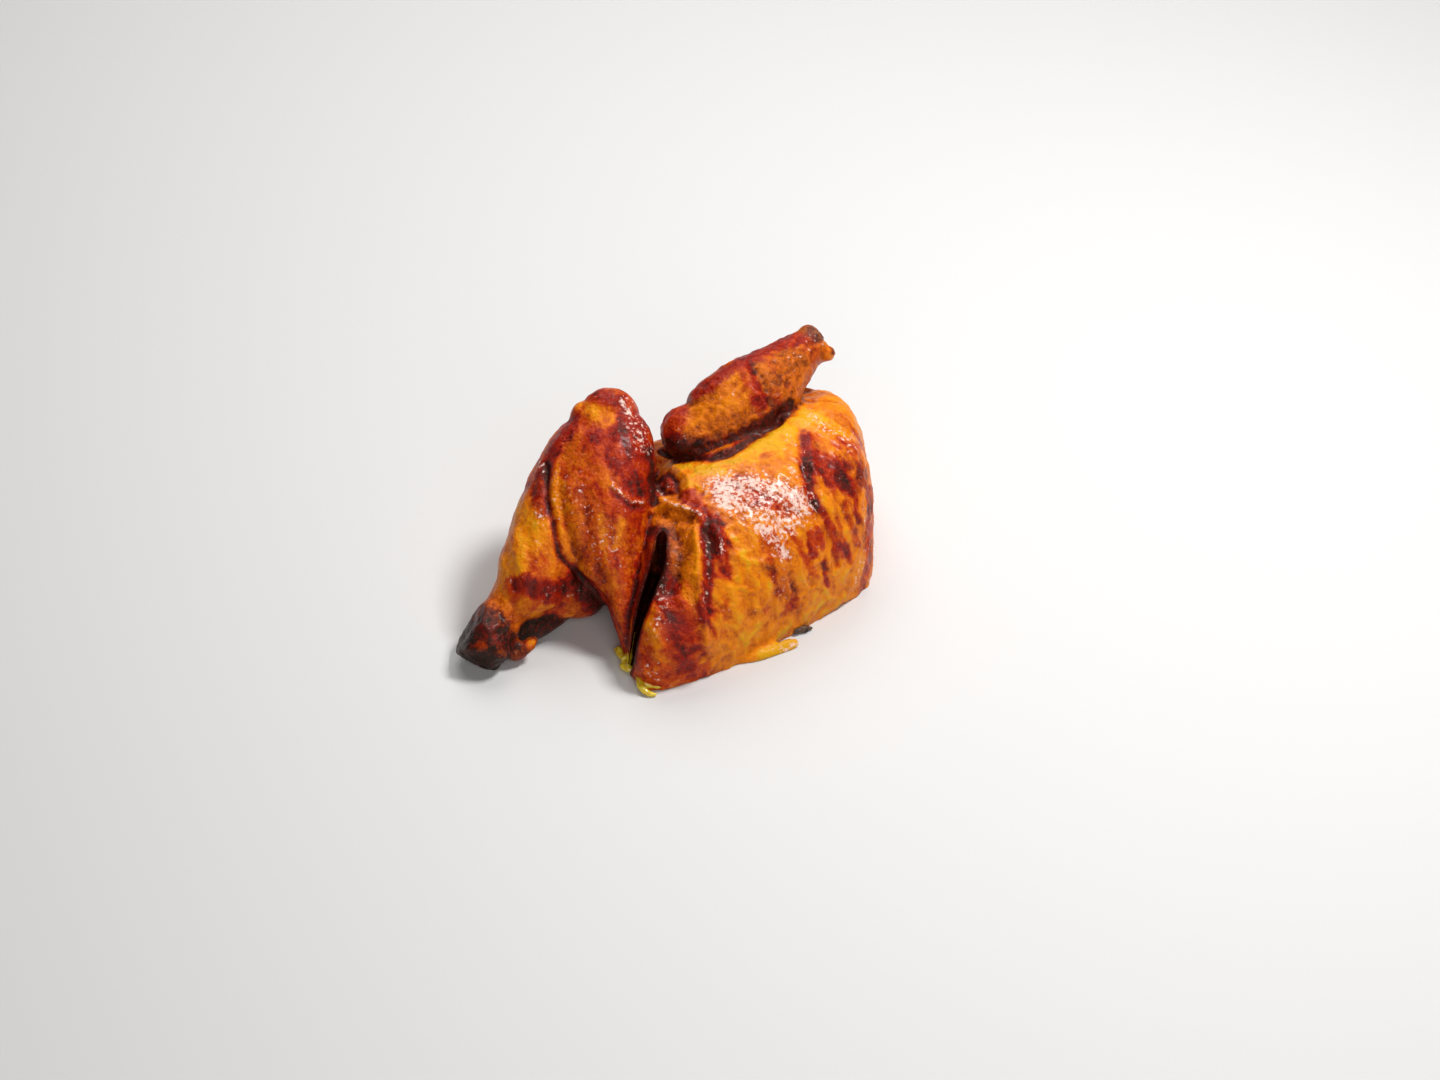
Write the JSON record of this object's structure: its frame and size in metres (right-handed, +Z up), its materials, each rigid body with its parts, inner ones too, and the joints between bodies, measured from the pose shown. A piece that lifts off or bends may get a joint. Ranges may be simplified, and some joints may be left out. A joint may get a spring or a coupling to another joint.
{
  "type": "roast chicken half",
  "caption": "Half roast chicken lying skin side up, with the leg drawn up, the thigh knuckle raised and the wing folded over the breast.",
  "frame": {"origin": "middle of the bounding box, on the surface that the cut side rests on", "axes": "+X from the ankle towards the neck end, +Y from the cut keel edge towards the back, +Z up"},
  "size_m": [0.1703, 0.1587, 0.0774],
  "materials": {
    "roast_skin": "oily browned roast skin, patchy gold to dark brown"
  },
  "bodies": {
    "root": {"half_chicken": "roast_skin"}
  },
  "joints": []
}
